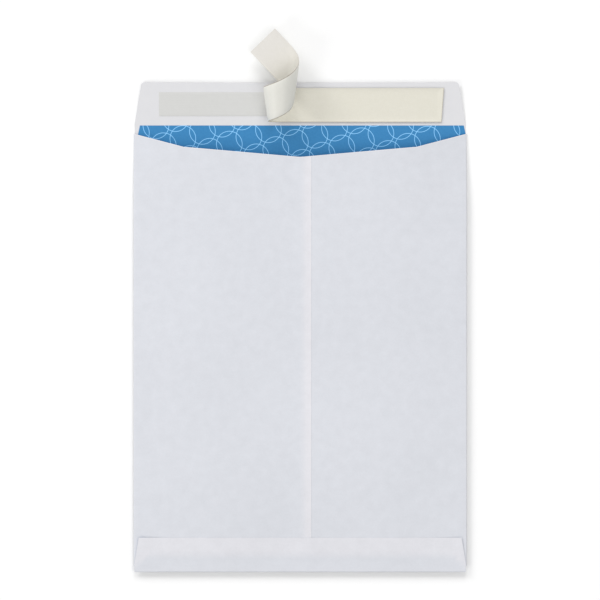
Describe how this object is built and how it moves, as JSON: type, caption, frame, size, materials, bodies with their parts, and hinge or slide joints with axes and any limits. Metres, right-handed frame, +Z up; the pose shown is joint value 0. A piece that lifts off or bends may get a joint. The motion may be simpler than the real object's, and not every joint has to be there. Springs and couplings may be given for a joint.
{
  "type": "catalog envelope",
  "caption": "Open-end paper catalog envelope, seam side up with the seal flap open, a security tint inside and a peel-off seal strip whose release liner is half peeled and curled",
  "frame": {"origin": "middle of the address face, on the surface that the envelope lies on", "axes": "+X to the right seen from the seam side, +Y from the bottom fold to the seal flap, +Z up from the address face to the seam side"},
  "size_m": [0.2286, 0.3726, 0.0271],
  "materials": {
    "wove_paper": "uncoated white wove paper, blue security tint printed on the inside",
    "seal_adhesive": "hot-melt pressure-sensitive adhesive film, dull and slightly grey",
    "release_liner": "cream release paper, calendered and silicone coated on the adhesive side"
  },
  "bodies": {
    "root": {"envelope_sheet": "wove_paper", "seal_adhesive": "seal_adhesive", "release_liner": "release_liner"}
  },
  "joints": []
}
